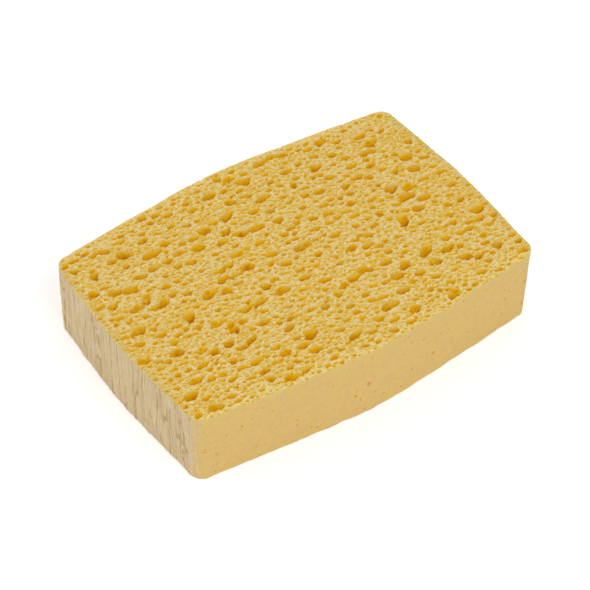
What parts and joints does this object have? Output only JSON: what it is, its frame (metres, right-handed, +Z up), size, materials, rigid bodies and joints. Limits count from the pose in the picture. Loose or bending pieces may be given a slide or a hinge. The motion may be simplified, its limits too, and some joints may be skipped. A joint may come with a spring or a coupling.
{
  "type": "cleaning sponge",
  "caption": "Dry cellulose cleaning sponge: one rectangular block with bowed sides, rounded corners and open pores on its two large faces.",
  "frame": {"origin": "middle of the underside, on the surface that the sponge lies on", "axes": "+X along the length, +Y across the width, +Z up through the thickness"},
  "size_m": [0.152, 0.1056, 0.032],
  "materials": {
    "cellulose_foam": "dry open-cell cellulose foam, pale yellow skin with deeper amber pores"
  },
  "bodies": {
    "root": {"sponge": "cellulose_foam"}
  },
  "joints": []
}
